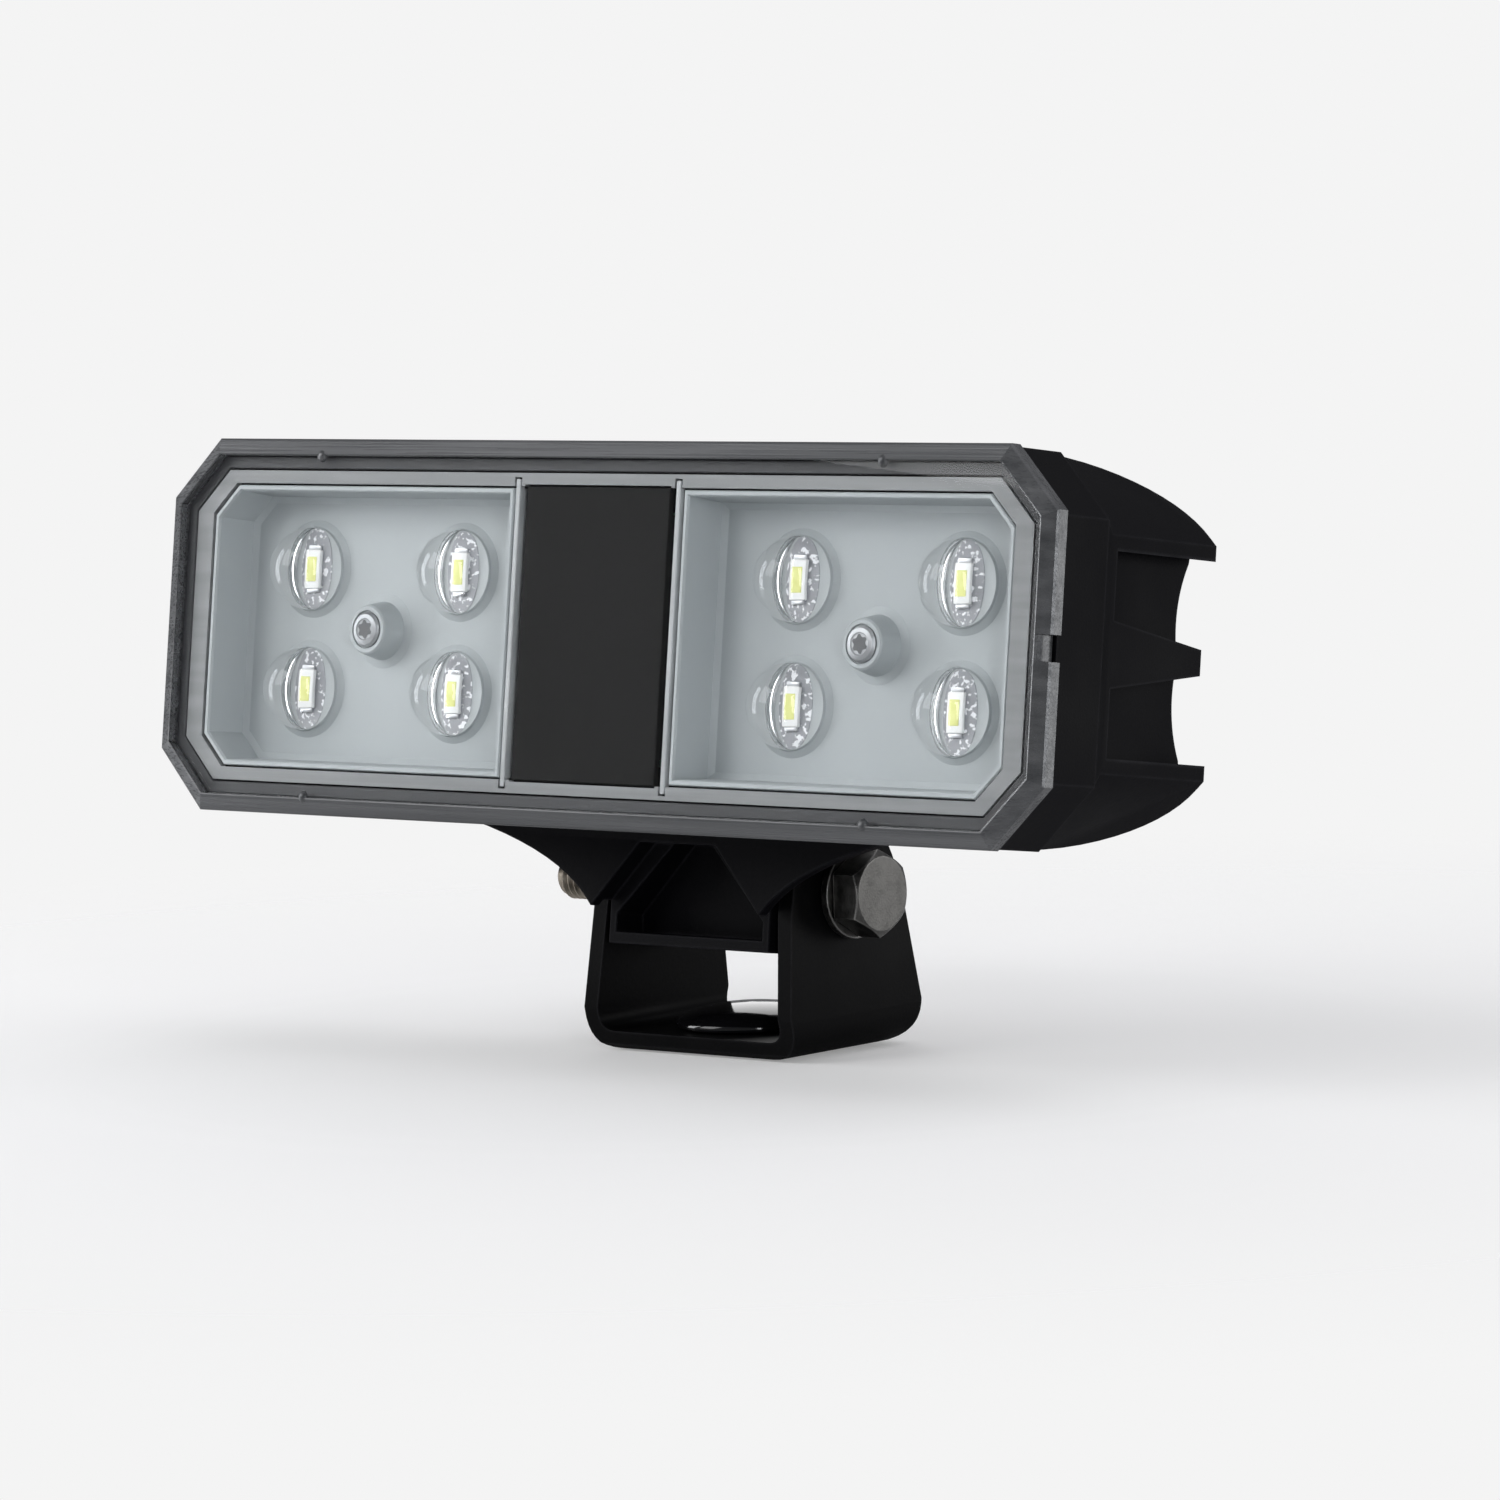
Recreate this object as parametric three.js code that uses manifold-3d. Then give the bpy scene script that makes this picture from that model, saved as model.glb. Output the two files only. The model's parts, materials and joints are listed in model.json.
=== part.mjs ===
// LED fog and work light: a cast finned head with an octagonal lens, held between the legs
// of a U-bracket by one M8 bolt. Millimetres, +Z up. The origin is the centre of the
// bracket's mounting hole on the underside of its base, and the lens faces -Y.
import * as THREE from "three";
import { mergeVertices } from "three/addons/utils/BufferGeometryUtils.js";
import { ConvexGeometry } from "three/addons/geometries/ConvexGeometry.js";
import Module from "manifold-3d";

const wasm = await Module();
wasm.setup();

// ---------- driving dimensions ----------
const FIT = 0.3; // clearance between pieces that touch
const ROUND = 32; // sides on a round piece

const LENS = { width: 196, height: 64, chamfer: 10.3, pane: 2, rim: 3.5, rimWidth: 2.6, edge: 0.6 };
const NOTCH = { wide: 1.9, tall: 4.3, deep: 1.2 };
const GASKET = { outer: 3, inner: 5.1 };
const FIELD = { inner: 18.9, outer: 88.6, halfHeight: 24.1, chamfer: 5.2 };
const TRAY = { wall: 1.2, front: 2.5, floor: 11, thick: 1.4 };
const DOME = { radius: 7.2, centre: 9.8 };
const LED = { wide: 3.2, tall: 5.6, back: 13.4, thick: 0.65 };
const LED_X = [37.7, 72.2];
const LED_Z = 10.3;
const SCREW = { x: 55, headFront: 4.5, headBack: 6.3, headRadius: 3.3, radius: 1.5, end: 18.4 };
const BOSS = { front: 6.6, topRadius: 4.2, baseRadius: 5.4 };
const BOARD = { front: 13.7, back: 15.2 };
const PAD = { front: 15.5, back: 16.2 };
const PANEL = { halfWidth: 15.9, halfHeight: 24.4, front: 2.45, thick: 1.15, wall: 1.2 };
const DIVIDER = { inner: 17.3, outer: 18.3, halfHeight: 25.6, back: 8.7 };

const BODY = { halfWidth: 96.8, halfHeight: 31.7, chamfer: 10.6, front: 3.8 };
const FRAME_BACK = 15.4; // the front frame steps in to the finned shell here
const SHELL = { halfWidth: 95.6, halfHeight: 31.5, chamfer: 12.6, front: 18, tail: 44.8, tailZ: 20 };
const SHELL_INSIDE = { rootZ: 28.4, lipZ: 17, chamfer: 13 };
const CHAMBER = { inset: 6.3, floor: 16.5 };
const WALL_BACK = 19.4; // rear face of the wall that the boards cool through
const RIB = { root: 5.4, tip: 2.1, tipY: 42.3 };
const FIN = { count: 15, endX: 91.5, thick: 2, edge: 41.8, edgeZ: 15.8, hollow: 39.2 };

const PIVOT = { z: 26.8, back: 45, drop: 39.8 }; // height over the base, place behind and below the lens
const TILT = THREE.MathUtils.degToRad(8);
const BOLT = { radius: 3.95, hole: 4.3, face: 24.4, head: 5.3, length: 65.3, flats: 13 };
const WASHER = { inner: 4.3, outer: 7.8, thick: 1.5 };
const NUT = { thick: 6.6, face: -22.7 };
const FOOT = { halfWidth: 17.8, front: 26.4, face: 30.5, bottom: -50.7, heel: 54, webThick: 2.2 };

const BRACKET = { thick: 3, baseHalf: 23.6, splay: 0.064, corner: 6.5, hole: 5.25 };
const LEG = { baseHalf: 17, toe: 7, kinkHalf: 14.4, kinkZ: 24.3, topRadius: 13.4 };
const CAP = { radius: 13, height: 3.9, stem: 4.8 };

const GLAND = { z: 10.5, boss: 8.5, mouth: 33, hexFlats: 14, nutRadius: 6.4, bore: 3.2 };
const VENT = { x: 32.7, z: 12, head: 4.2, stem: 2 };

// ---------- colours ----------
const finish = (color, roughness, metalness, extra = {}) =>
  new THREE.MeshStandardMaterial({ color, roughness, metalness, ...extra });
const clear = { transparent: true, opacity: 0.35 };
const powderBlack = finish(0x17171a, 0.62, 0.2);
const stainless = finish(0x8d8d8a, 0.38, 1);
const rubberBlack = finish(0x26272a, 0.8, 0);
const capBlack = finish(0x0d0d0f, 0.25, 0);
const lensClear = finish(0xc9d0d2, 0.08, 0, clear);
const opticClear = finish(0xd5dadb, 0.05, 0, clear);
const bezelGrey = finish(0x84888b, 0.5, 0);
const panelBlack = finish(0x2c2c2b, 0.55, 0);
const boardWhite = finish(0xa9b0b4, 0.55, 0);
const phosphor = finish(0xdade8c, 0.6, 0);
const padGrey = finish(0x9a9ca0, 0.9, 0);
const boardGreen = finish(0x1f5138, 0.5, 0);
const partBlack = finish(0x1b1b1c, 0.5, 0);
const capacitorSleeve = finish(0x2a3550, 0.4, 0.1);

// ---------- shapes ----------
function solid(geometry) {
  const bare = geometry.index ? geometry.toNonIndexed() : geometry.clone();
  bare.deleteAttribute("normal");
  bare.deleteAttribute("uv");
  const merged = mergeVertices(bare, 1e-4);
  const corners = [];
  for (let i = 0; i < merged.index.count; i += 3) {
    const [a, b, c] = [0, 1, 2].map((k) => merged.index.getX(i + k));
    if (a !== b && b !== c && a !== c) corners.push(a, b, c);
  }
  const vertProperties = new Float32Array(merged.attributes.position.array);
  return new wasm.Manifold(new wasm.Mesh({ numProp: 3, vertProperties, triVerts: new Uint32Array(corners) }));
}

function geometryOf(manifold) {
  const mesh = manifold.getMesh();
  const geometry = new THREE.BufferGeometry();
  geometry.setAttribute("position", new THREE.BufferAttribute(new Float32Array(mesh.vertProperties), 3));
  geometry.setIndex(new THREE.BufferAttribute(new Uint32Array(mesh.triVerts), 1));
  const flat = geometry.toNonIndexed();
  flat.computeVertexNormals();
  return flat;
}

const joined = (...parts) => parts.reduce((whole, next) => whole.add(next));
const cut = (body, ...tools) => tools.reduce((rest, tool) => rest.subtract(tool), body);

function outline(points) {
  return new THREE.Shape(points.map(([u, v]) => new THREE.Vector2(u, v)));
}

// An outline in X and Z, made solid from y0 back to y1.
function alongY(shape, y0, y1, curveSegments = 12) {
  const geometry = new THREE.ExtrudeGeometry(shape, { depth: y1 - y0, bevelEnabled: false, curveSegments });
  return solid(geometry.rotateX(Math.PI / 2).translate(0, y1, 0));
}

// An outline in Y and Z, made solid from x0 to x1.
function alongX(shape, x0, x1, curveSegments = 12) {
  const geometry = new THREE.ExtrudeGeometry(shape, { depth: x1 - x0, bevelEnabled: false, curveSegments });
  const turn = new THREE.Matrix4().makeBasis(
    new THREE.Vector3(0, 1, 0),
    new THREE.Vector3(0, 0, 1),
    new THREE.Vector3(1, 0, 0),
  );
  return solid(geometry.applyMatrix4(turn).translate(x0, 0, 0));
}

function block(x0, x1, y0, y1, z0, z1) {
  const geometry = new THREE.BoxGeometry(x1 - x0, y1 - y0, z1 - z0);
  return solid(geometry.translate((x0 + x1) / 2, (y0 + y1) / 2, (z0 + z1) / 2));
}

// Turned pieces: a profile of [radius, distance along the axis].
function turned(profile, sides = ROUND) {
  return new THREE.LatheGeometry(profile.map(([r, h]) => new THREE.Vector2(r, h)), sides);
}
const turnedX = (profile, sides) => solid(turned(profile, sides).rotateZ(-Math.PI / 2));
const turnedY = (profile, x, z, sides) => solid(turned(profile, sides)
  .rotateX(Math.PI).translate(x, 0, z));
const turnedZ = (profile, sides) => solid(turned(profile, sides).rotateX(Math.PI / 2));
const rod = (radius, from, to) => [[0, from], [radius, from], [radius, to], [0, to]];
// turnedY looks out of the lens: its profile distances are measured towards the viewer, so -y.
const rodY = (radius, y0, y1, x, z, sides) => turnedY(rod(radius, -y1, -y0), x, z, sides);

function octagon(inset, half = [LENS.width / 2, LENS.height / 2], chamfer = LENS.chamfer) {
  const w = half[0] - inset;
  const h = half[1] - inset;
  const c = chamfer - inset * (2 - Math.SQRT2);
  return [[w, -h + c], [w, h - c], [w - c, h], [-w + c, h], [-w, h - c], [-w, -h + c], [-w + c, -h], [w - c, -h]];
}

// An octagonal slab that changes from one outline to another through its depth.
function octagonSlab(y0, outline0, y1, outline1) {
  const ring = (y, points) => points.map(([x, z]) => new THREE.Vector3(x, y, z));
  return solid(new ConvexGeometry([...ring(y0, outline0), ...ring(y1, outline1)]));
}

const octagonRing = (y0, y1, outer, inner) => cut(
  alongY(outline(octagon(outer)), y0, y1),
  alongY(outline(octagon(inner)), y0 - 1, y1 + 1),
);

function mesh(name, material, manifold) {
  const node = new THREE.Mesh(geometryOf(manifold), material);
  node.name = name;
  return node;
}

const both = (make) => [make(-1, "left"), make(1, "right")];

// ---------- bracket ----------
function bracketSection() {
  const top = LEG.topRadius + PIVOT.z + 5;
  const { thick, baseHalf, splay, corner } = BRACKET;
  const lean = (z) => baseHalf - splay * z;
  const shape = new THREE.Shape();
  shape.moveTo(-lean(top), top);
  shape.lineTo(-lean(corner), corner);
  shape.quadraticCurveTo(-baseHalf, 0, -baseHalf + corner, 0);
  shape.lineTo(baseHalf - corner, 0);
  shape.quadraticCurveTo(baseHalf, 0, lean(corner), corner);
  shape.lineTo(lean(top), top);
  shape.lineTo(lean(top) - thick, top);
  shape.lineTo(lean(corner) - thick, corner);
  shape.quadraticCurveTo(baseHalf - thick, thick, baseHalf - corner, thick);
  shape.lineTo(-baseHalf + corner, thick);
  shape.quadraticCurveTo(-baseHalf + thick, thick, -lean(corner) + thick, corner);
  shape.lineTo(-lean(top) + thick, top);
  return shape;
}

function legProfile() {
  const { baseHalf, toe, kinkHalf, kinkZ, topRadius } = LEG;
  const shoulder = Math.asin(2.5 / topRadius);
  const shape = new THREE.Shape();
  shape.moveTo(-baseHalf + 2.4, 0);
  shape.lineTo(baseHalf - toe, 0);
  shape.quadraticCurveTo(baseHalf - 1, 0.8, baseHalf, toe);
  shape.lineTo(kinkHalf, kinkZ);
  shape.absarc(0, PIVOT.z, topRadius, shoulder, Math.PI - shoulder, false);
  shape.lineTo(-kinkHalf, kinkZ);
  shape.lineTo(-baseHalf + 0.3, toe);
  shape.lineTo(-baseHalf + 1.6, 0.8);
  return shape;
}

function bracket() {
  const section = alongY(bracketSection(), -LEG.baseHalf - 2, LEG.baseHalf + 2, 8);
  const sides = alongX(legProfile(), -40, 40, 14);
  const pivotHole = turnedX(rod(BOLT.hole, -40, 40)).translate([0, 0, PIVOT.z]);
  const mountHole = turnedZ(rod(BRACKET.hole, -2, BRACKET.thick + 2));
  return mesh("bracket", powderBlack, cut(section.intersect(sides), pivotHole, mountHole));
}

function mountHoleCap() {
  const bottom = BRACKET.thick + FIT;
  const crown = [];
  const steps = 7;
  for (let i = 0; i <= steps; i++) {
    const a = (i / steps) * (Math.PI / 2);
    crown.push([CAP.radius * Math.cos(a), bottom + 0.6 + (CAP.height - 0.6) * Math.sin(a)]);
  }
  crown[steps][0] = 0;
  const profile = [[0, FIT], [CAP.stem, FIT], [CAP.stem, bottom], [CAP.radius - 0.4, bottom], ...crown];
  return mesh("mount_hole_cap", capBlack, turnedZ(profile));
}

// ---------- pivot hardware ----------
// A hexagon prism along X with the corners of its outer face turned off.
function hexPiece(flats, x0, x1, outward) {
  const corner = flats / Math.sqrt(3);
  const points = [0, 1, 2, 3, 4, 5].map((i) => {
    const a = Math.PI / 2 + (i * Math.PI) / 3;
    return [corner * Math.cos(a), corner * Math.sin(a)];
  });
  const drop = 0.9;
  const wide = corner + 0.05;
  const narrow = flats / 2 - 0.25;
  const turnedOff = outward > 0
    ? [[0, x0 - 1], [wide, x0 - 1], [wide, x1 - drop], [narrow, x1], [0, x1]]
    : [[0, x0], [narrow, x0], [wide, x0 + drop], [wide, x1 + 1], [0, x1 + 1]];
  return alongX(outline(points), x0, x1).intersect(turnedX(turnedOff, 48));
}

function pivotBolt() {
  const tip = BOLT.face - BOLT.length;
  const shank = [
    [0, tip], [BOLT.radius - 0.9, tip], [BOLT.radius, tip + 1], [BOLT.radius, BOLT.face + 1], [0, BOLT.face + 1],
  ];
  const head = hexPiece(BOLT.flats, BOLT.face, BOLT.face + BOLT.head, 1);
  const bolt = joined(head, turnedX(shank));
  return mesh("pivot_bolt", stainless, bolt.translate([0, 0, PIVOT.z]));
}

function pivotWasher() {
  const face = BOLT.face - FIT / 2;
  const ring = cut(
    turnedX(rod(WASHER.outer, face - WASHER.thick, face)),
    turnedX(rod(WASHER.inner, face - 5, face + 5)),
  );
  return mesh("pivot_washer", stainless, ring.translate([0, 0, PIVOT.z]));
}

function pivotNut() {
  const body = hexPiece(BOLT.flats, NUT.face - NUT.thick, NUT.face, -1);
  const bore = turnedX(rod(BOLT.radius + FIT, NUT.face - 20, NUT.face + 5));
  return mesh("pivot_nut", stainless, cut(body, bore).translate([0, 0, PIVOT.z]));
}

// ---------- housing: seen from the lens, y runs backwards from its front face ----------
const frameOutline = (inset) => octagon(inset, [BODY.halfWidth, BODY.halfHeight], BODY.chamfer);
const shellOutline = () => octagon(0, [SHELL.halfWidth, SHELL.halfHeight], SHELL.chamfer);

// Height of the crowned shell over the lamp's axis, falling steeply at its tail.
function crownZ(y) {
  const along = Math.max(0, (y - FRAME_BACK) / (SHELL.tail - FRAME_BACK));
  return SHELL.tailZ + (SHELL.halfHeight - SHELL.tailZ) * (1 - along ** 1.7) ** 0.45;
}

// Height of the shell's inner face, which ends in a lip at the tail.
function shellZ(y) {
  const along = Math.min(1, Math.max(0, (y - WALL_BACK) / (SHELL.tail - WALL_BACK)));
  return SHELL_INSIDE.lipZ + (SHELL_INSIDE.rootZ - SHELL_INSIDE.lipZ) * (1 - along ** 2) ** 0.8;
}

function bodySolid() {
  const steps = 12;
  const upper = [[FRAME_BACK - 1, SHELL.halfHeight]];
  for (let i = 0; i <= steps; i++) {
    const y = SHELL.tail - (SHELL.tail - FRAME_BACK) * (1 - i / steps) ** 2;
    upper.push([y, crownZ(y)]);
  }
  const lower = upper.map(([y, z]) => [y, -z]).reverse();
  const crowned = alongX(outline([...upper, ...lower].reverse()), -BODY.halfWidth, BODY.halfWidth);
  return joined(
    alongY(outline(frameOutline(0)), BODY.front, FRAME_BACK),
    octagonSlab(FRAME_BACK, frameOutline(0.2), SHELL.front, shellOutline()),
    alongY(outline(shellOutline()), FRAME_BACK - 1, SHELL.tail + 5).intersect(crowned),
  );
}

// The space between the middle rib and a crowned shell, from its front edge to past the tail.
function finSpace(side, frontEdge) {
  const slope = (RIB.root - RIB.tip) / (RIB.tipY - WALL_BACK);
  const past = SHELL.tail + 12;
  const ribZ = (y) => RIB.root - slope * (y - WALL_BACK);
  const shape = new THREE.Shape();
  const ribEnd = -0.2;
  shape.moveTo(past, side * ribEnd);
  shape.lineTo(RIB.tipY, side * ribEnd);
  shape.lineTo(RIB.tipY, side * ribZ(RIB.tipY));
  frontEdge(shape, side, ribZ);
  const steps = 8;
  const start = shape.currentPoint.x;
  for (let i = 1; i <= steps; i++) {
    const y = SHELL.tail - (SHELL.tail - start) * (1 - i / steps) ** 1.6;
    shape.lineTo(y, side * shellZ(y));
  }
  shape.lineTo(past, side * SHELL_INSIDE.lipZ);
  return shape;
}

const squareFront = (y) => (shape, side, ribZ) => {
  shape.lineTo(y, side * ribZ(y));
  shape.lineTo(y, side * shellZ(y));
};

function hollowFront(shape, side, ribZ) {
  shape.lineTo(FIN.hollow + 0.4, side * ribZ(FIN.hollow + 0.4));
  shape.quadraticCurveTo(FIN.hollow - 0.7, side * 0.6 * FIN.edgeZ, FIN.edge, side * FIN.edgeZ);
  shape.lineTo(FIN.edge + 0.7, side * shellZ(FIN.edge + 0.7));
}

// Everything inside the shell's chamfered sides, open past both ends.
function shellRoom() {
  const half = [SHELL.halfWidth, SHELL_INSIDE.rootZ + 1];
  const end = block(-110, 110, 0, 80, -1, 1).scale([1, 1, half[1] - SHELL_INSIDE.chamfer]);
  return joined(alongY(outline(octagon(0, half, SHELL_INSIDE.chamfer)), 0, 80), end);
}

function finCuts() {
  const pitch = (2 * FIN.endX) / (FIN.count - 1);
  const cuts = [];
  for (const side of [-1, 1]) {
    const cell = alongX(finSpace(side, squareFront(WALL_BACK)), 0, pitch - FIN.thick);
    for (let i = 0; i < FIN.count - 1; i++) {
      const x = -FIN.endX + i * pitch + FIN.thick / 2;
      cuts.push(cell.translate([x, 0, 0]));
    }
    const end = alongX(finSpace(side, squareFront(WALL_BACK)), 0, 12);
    cuts.push(end.translate([FIN.endX + FIN.thick / 2, 0, 0]));
    cuts.push(end.translate([-FIN.endX - FIN.thick / 2 - 12, 0, 0]));
    cuts.push(alongX(finSpace(side, hollowFront), -BODY.halfWidth - 5, BODY.halfWidth + 5));
  }
  const room = shellRoom();
  return cuts.map((each) => each.intersect(room));
}

function footCore() {
  const { halfWidth, front, bottom, heel } = FOOT;
  const shape = new THREE.Shape();
  shape.moveTo(front, -29);
  shape.lineTo(front, bottom + 2.4);
  shape.lineTo(front + 2, bottom);
  shape.lineTo(PIVOT.back + 1, bottom);
  shape.quadraticCurveTo(heel, bottom, heel, -PIVOT.drop);
  shape.quadraticCurveTo(heel, -31, 48, -25);
  shape.lineTo(43, -20.5);
  shape.lineTo(34, -27);
  return alongX(shape, -halfWidth, halfWidth, 8);
}

// The flared gusset across the front of the foot, which spreads the load under the body.
function footWeb() {
  const top = -28.5;
  const foot = FOOT.halfWidth;
  const lowest = -46;
  const reach = 62;
  const shape = new THREE.Shape();
  shape.moveTo(-foot, lowest);
  shape.lineTo(foot, lowest);
  shape.quadraticCurveTo(25, -34, reach, top);
  shape.lineTo(-reach, top);
  shape.quadraticCurveTo(-25, -34, -foot, lowest);
  return alongY(shape, FOOT.front, FOOT.front + FOOT.webThick, 14);
}

// A relief with slanting sides, narrow under the body and wide at the foot's bottom.
function slantedSection(base, lip, shoulder, roof, roofHalf) {
  return [[-base, lip], [base, lip], [base, shoulder], [roofHalf, roof], [-roofHalf, roof], [-base, shoulder]];
}

// The step in the gusset that leaves two slanting ribs, and opens past the foot's sides.
const footStep = () => alongY(
  outline(slantedSection(FOOT.halfWidth + 3, FOOT.bottom - 2, -46.8, -33.4, 8.4)),
  FOOT.front - 3,
  FOOT.face,
);

// The tapered pocket in the foot's front face, with a drafted floor.
function footPocket() {
  const lip = FOOT.bottom + 2;
  const section = slantedSection(16.3, lip, lip + 3.1, -33.4, 4.2);
  const floorY = (z) => 37.4 - (z - lip) * 0.11;
  const corners = section.flatMap(([x, z]) => [
    new THREE.Vector3(x, FOOT.front - 3, z),
    new THREE.Vector3(x, floorY(z), z),
  ]);
  return solid(new ConvexGeometry(corners));
}

function housing() {
  const gland = rodY(GLAND.boss, WALL_BACK - 1, GLAND.mouth, 0, GLAND.z);
  const glandRoom = alongX(finSpace(1, squareFront(GLAND.mouth)), -GLAND.boss - 2, GLAND.boss + 2);
  const finned = cut(bodySolid(), ...finCuts(), glandRoom);
  const cast = joined(finned, gland);
  const screws = [-1, 1].map((side) => rodY(SCREW.radius + 0.35, 10, SCREW.end + 0.4, side * SCREW.x, 0, 20));
  const shell = cut(
    cast,
    alongY(outline(frameOutline(CHAMBER.inset)), BODY.front - 5, CHAMBER.floor),
    rodY(5.3, 25, 40, 0, GLAND.z),
    rodY(VENT.stem + FIT, 10, 30, VENT.x, VENT.z, 20),
    ...screws,
  );
  return mesh("housing", powderBlack, shell);
}

// The foot sits against the underside of the body, and takes the pivot bolt.
function mountingFoot() {
  const body = bodySolid();
  const foot = cut(
    joined(footCore(), footWeb()),
    joined(body, body.translate([0, 0, -FIT])),
    turnedX(rod(BOLT.hole, -30, 30)).translate([0, PIVOT.back, -PIVOT.drop]),
    footStep(),
    footPocket(),
  );
  return mesh("mounting_foot", powderBlack, foot);
}

// ---------- front of the head ----------
function frontLens() {
  const pane = joined(
    octagonSlab(0, octagon(LENS.edge), LENS.edge, octagon(0)),
    octagonSlab(LENS.edge, octagon(0), LENS.pane, octagon(0)),
    octagonRing(LENS.pane, LENS.rim, 0, LENS.rimWidth),
  );
  const edge = LENS.width / 2;
  const notch = block(edge - NOTCH.wide, edge + 1, -1, NOTCH.deep, -NOTCH.tall / 2, NOTCH.tall / 2);
  return mesh("front_lens", lensClear, cut(pane, notch));
}

const lensGasket = () => mesh(
  "lens_gasket",
  rubberBlack,
  octagonRing(LENS.pane + FIT, LENS.rim, GASKET.outer, GASKET.inner),
);

function fieldOutline(side, inset) {
  const inner = side * (FIELD.inner + inset);
  const outer = side * (FIELD.outer - inset);
  const h = FIELD.halfHeight - inset;
  const c = FIELD.chamfer;
  const points = [[inner, -h], [outer - side * c, -h], [outer, -h + c], [outer, h - c], [outer - side * c, h], [inner, h]];
  return outline(side > 0 ? points : points.reverse());
}

function bezelFrame() {
  const open = FIELD.outer + FIT;
  const high = FIELD.halfHeight + FIT;
  const c = FIELD.chamfer;
  const opening = [
    [open, -high + c], [open, high - c], [open - c, high], [-open + c, high],
    [-open, high - c], [-open, -high + c], [-open + c, -high], [open - c, -high],
  ];
  const frame = cut(
    alongY(outline(octagon(GASKET.inner + FIT)), LENS.pane + FIT, LENS.rim),
    alongY(outline(opening), 0, 9),
    block(-PANEL.halfWidth - FIT, PANEL.halfWidth + FIT, 0, 9, -PANEL.halfHeight - FIT, PANEL.halfHeight + FIT),
  );
  const slots = [-1, 1].map((side) => {
    const middle = (side * (DIVIDER.inner + DIVIDER.outer)) / 2;
    const half = (DIVIDER.outer - DIVIDER.inner) / 2 + FIT;
    const reach = DIVIDER.halfHeight + FIT;
    return block(middle - half, middle + half, 0, 9, -reach, reach);
  });
  return mesh("bezel_frame", bezelGrey, cut(frame, ...slots));
}

function opticTray(side, label) {
  const x = side * SCREW.x;
  const domes = LED_X.flatMap((ledX) => [-LED_Z, LED_Z].map((z) => {
    const ball = new THREE.SphereGeometry(DOME.radius, 24, 14).rotateX(Math.PI / 2);
    const column = rodY(DOME.radius, DOME.centre, TRAY.floor + 0.5, side * ledX, z, 24);
    return joined(solid(ball.translate(side * ledX, DOME.centre, z)), column);
  }));
  const back = TRAY.floor + TRAY.thick;
  const plate = alongY(fieldOutline(side, 0), TRAY.floor, back);
  const wall = cut(
    alongY(fieldOutline(side, 0), TRAY.front, TRAY.floor + 0.5),
    alongY(fieldOutline(side, TRAY.wall), TRAY.front - 1, TRAY.floor + 1),
  );
  const boss = turnedY([
    [0, -TRAY.floor - 0.5], [BOSS.baseRadius, -TRAY.floor - 0.5], [BOSS.baseRadius, -TRAY.floor],
    [BOSS.topRadius, -BOSS.front], [0, -BOSS.front],
  ], x, 0);
  const behind = block(x - 60, x + 60, back, back + 20, -40, 40);
  const tray = cut(joined(plate, wall, boss, ...domes), behind, rodY(SCREW.radius + 0.4, 0, 20, x, 0, 20));
  return mesh(`optic_tray_${label}`, opticClear, tray);
}

function opticScrew(side, label) {
  const { headFront, headBack, headRadius, radius, end } = SCREW;
  const profile = [
    [0, -end], [radius - 0.5, -end], [radius, -end + 0.6], [radius, -headBack], [headRadius, -headBack],
    [headRadius, -headBack + 0.9], [headRadius - 0.5, -headFront - 0.3], [headRadius - 1.3, -headFront], [0, -headFront],
  ];
  const star = rodY(1.3, headFront - 1, headFront + 1, side * SCREW.x, 0, 6);
  return mesh(`optic_screw_${label}`, stainless, cut(turnedY(profile, side * SCREW.x, 0), star));
}

function divider(side, label) {
  const [a, b] = [side * DIVIDER.inner, side * DIVIDER.outer].sort((p, q) => p - q);
  const upper = block(a, b, LENS.pane + FIT, LENS.rim, -DIVIDER.halfHeight, DIVIDER.halfHeight);
  const lower = block(a, b, LENS.pane + FIT, DIVIDER.back, -FIELD.halfHeight, FIELD.halfHeight);
  return mesh(`divider_${label}`, opticClear, joined(upper, lower));
}

function centrePanel() {
  const { halfWidth, halfHeight, front, thick, wall } = PANEL;
  const plate = block(-halfWidth, halfWidth, front, front + thick, -halfHeight, halfHeight);
  const cheek = (x) => block(x, x + wall, front + 0.5, PAD.back, -20, 20);
  return mesh("centre_panel", panelBlack, joined(plate, cheek(-halfWidth), cheek(halfWidth - wall)));
}

// ---------- inside the head ----------
function slab(side, inset, front, back) {
  const hole = rodY(2.2, front - 2, back + 2, side * SCREW.x, 0, 20);
  return cut(alongY(fieldOutline(side, inset), front, back), hole);
}

const ledBoard = (side, label) => mesh(`led_board_${label}`, boardWhite, slab(side, 0.5, BOARD.front, BOARD.back));
const thermalPad = (side, label) => mesh(`thermal_pad_${label}`, padGrey, slab(side, 1.4, PAD.front, PAD.back));

function leds() {
  const nodes = [];
  for (const side of [-1, 1]) {
    for (const ledX of LED_X) {
      for (const z of [LED_Z, -LED_Z]) {
        const x = side * ledX;
        const chip = block(
          x - LED.wide / 2, x + LED.wide / 2, LED.back - LED.thick, LED.back, z - LED.tall / 2, z + LED.tall / 2,
        );
        nodes.push(mesh(`led_${nodes.length + 1}`, phosphor, chip));
      }
    }
  }
  return nodes;
}

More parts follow.
